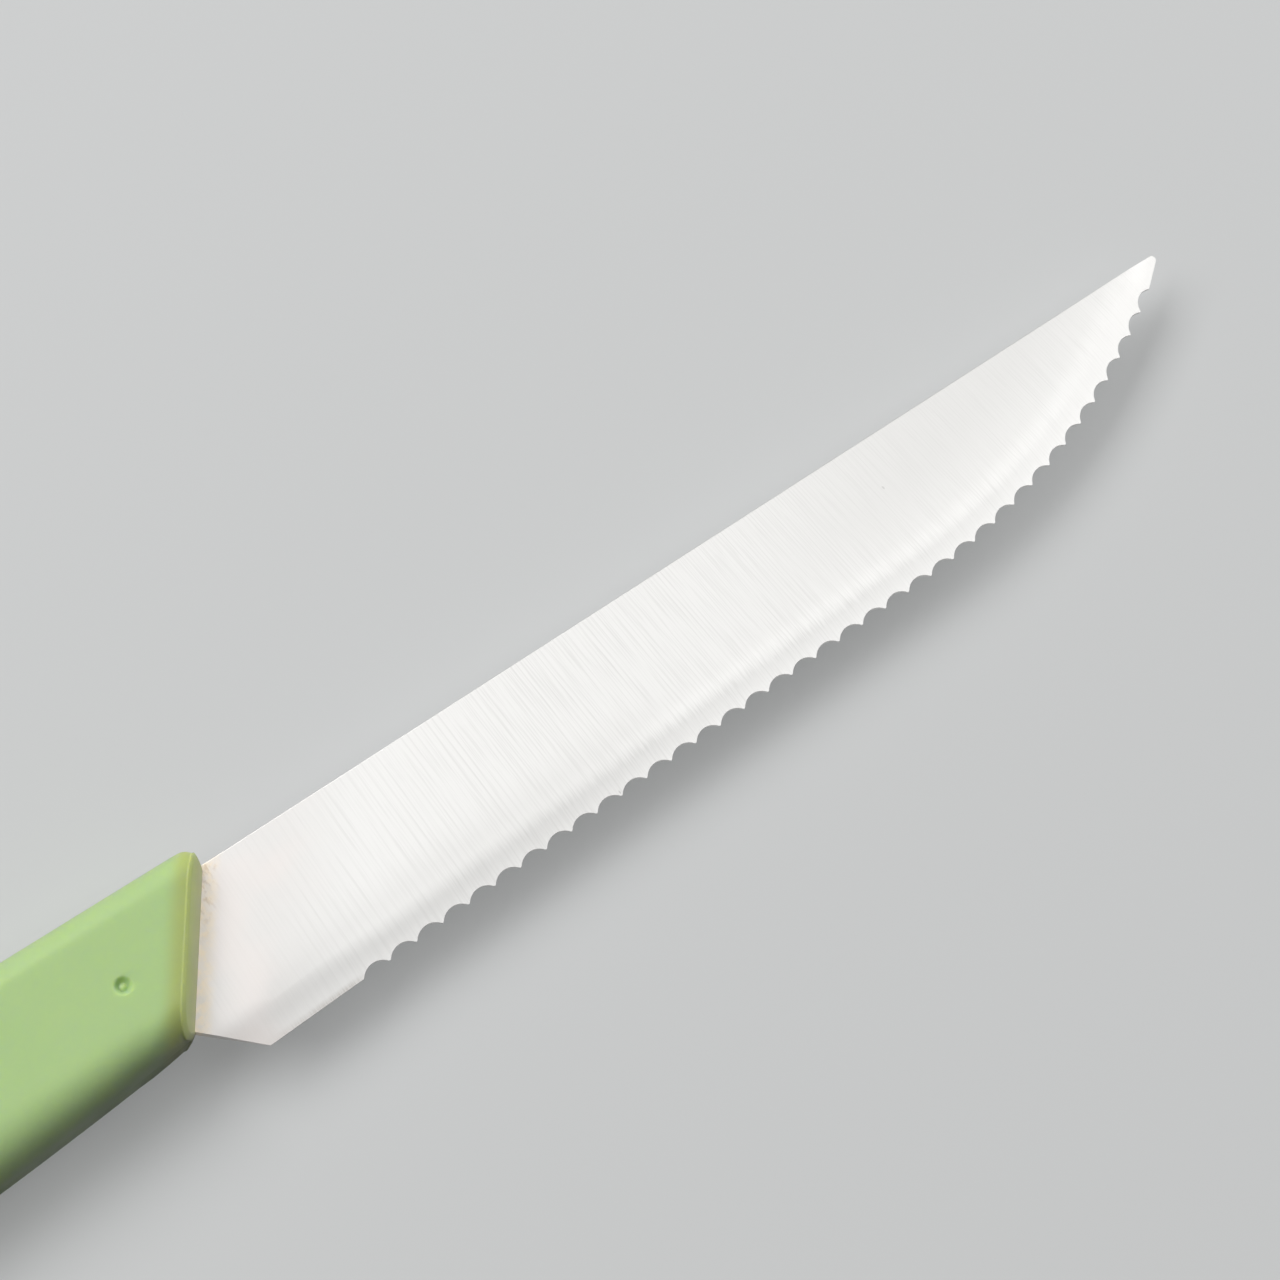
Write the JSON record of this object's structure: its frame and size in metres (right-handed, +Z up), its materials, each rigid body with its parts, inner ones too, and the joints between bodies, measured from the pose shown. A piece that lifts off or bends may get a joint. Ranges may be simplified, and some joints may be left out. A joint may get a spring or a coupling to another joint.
{
  "type": "steak knife",
  "caption": "Serrated table knife: a straight-spined ground steel blade with a hidden tang in a slim moulded plastic grip.",
  "frame": {"origin": "centre of the handle's flat underside, on which the knife lies", "axes": "+X along the blade to the tip, +Y from the cutting edge to the spine, +Z up out of the blade's upper side"},
  "size_m": [0.2253, 0.0193, 0.011],
  "materials": {
    "ground_steel": "ground across the blade, with a finer ground band along the edge",
    "green_plastic": "light green polypropylene with a soft sheen from the mould"
  },
  "bodies": {
    "root": {"blade": "ground_steel", "handle": "green_plastic"}
  },
  "joints": []
}
